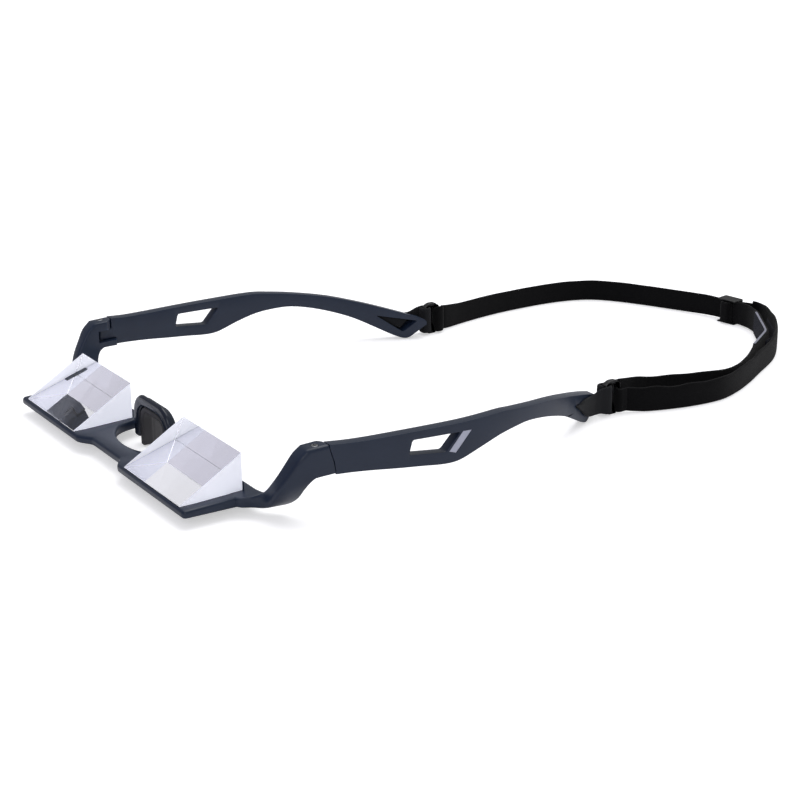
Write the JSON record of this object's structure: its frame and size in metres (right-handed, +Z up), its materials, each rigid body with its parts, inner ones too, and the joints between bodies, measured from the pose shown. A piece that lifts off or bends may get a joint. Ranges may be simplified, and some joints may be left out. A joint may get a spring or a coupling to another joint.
{
  "type": "belay prism glasses",
  "caption": "Belay glasses with glass prisms that turn the view upwards, folding temples, a nose arch and an adjustable head strap.",
  "frame": {"origin": "middle of the bounding box at the floor the glasses rest on", "axes": "+X towards the wearer's left, +Y backwards from the prisms to the strap, +Z up"},
  "size_m": [0.1494, 0.2586, 0.023],
  "materials": {
    "frame_plastic": "satin",
    "arch_plastic": "gloss",
    "prism_glass": "polished",
    "mirror_coat": "mirror",
    "pad_rubber": "matt",
    "insert_plastic": "matt",
    "screw_steel": "satin",
    "nut_brass": "satin",
    "webbing": "woven",
    "buckle_plastic": "satin",
    "label_fabric": "woven"
  },
  "bodies": {
    "front": {"front_frame": "frame_plastic", "left_prism": "prism_glass", "right_prism": "prism_glass", "left_prism_mirror": "mirror_coat", "right_prism_mirror": "mirror_coat", "nose_arch": "arch_plastic", "nose_pad": "pad_rubber", "left_hinge_screw": "screw_steel", "right_hinge_screw": "screw_steel", "left_hinge_nut": "nut_brass", "right_hinge_nut": "nut_brass", "right_strap": "webbing", "left_strap_outer": "webbing", "left_strap_inner": "webbing", "strap_label": "label_fabric"},
    "left_arm": {"left_temple": "frame_plastic", "left_temple_insert": "insert_plastic", "left_tip_loop": "webbing", "left_strap_slider": "buckle_plastic", "left_strap_end": "webbing"},
    "right_arm": {"right_temple": "frame_plastic", "right_temple_insert": "insert_plastic", "right_tip_loop": "webbing", "right_strap_slider": "buckle_plastic", "right_strap_end": "webbing"},
    "adjuster": {"strap_adjuster": "buckle_plastic", "adjuster_strap_end": "webbing"}
  },
  "joints": [
    {"name": "left_temple_fold", "type": "hinge", "parent": "front", "child": "left_arm", "pos_m": [0.0694, -0.09482, 0.0169], "axis": [0, 0, 1], "range_deg": [0, 80]},
    {"name": "right_temple_fold", "type": "hinge", "parent": "front", "child": "right_arm", "pos_m": [-0.0694, -0.09482, 0.0169], "axis": [0, 0, -1], "range_deg": [0, 66]},
    {"name": "adjuster_slide", "type": "slide", "parent": "front", "child": "adjuster", "axis": [0.9903, 0.1392, 0], "range_m": [-0.004, 0.004]}
  ]
}
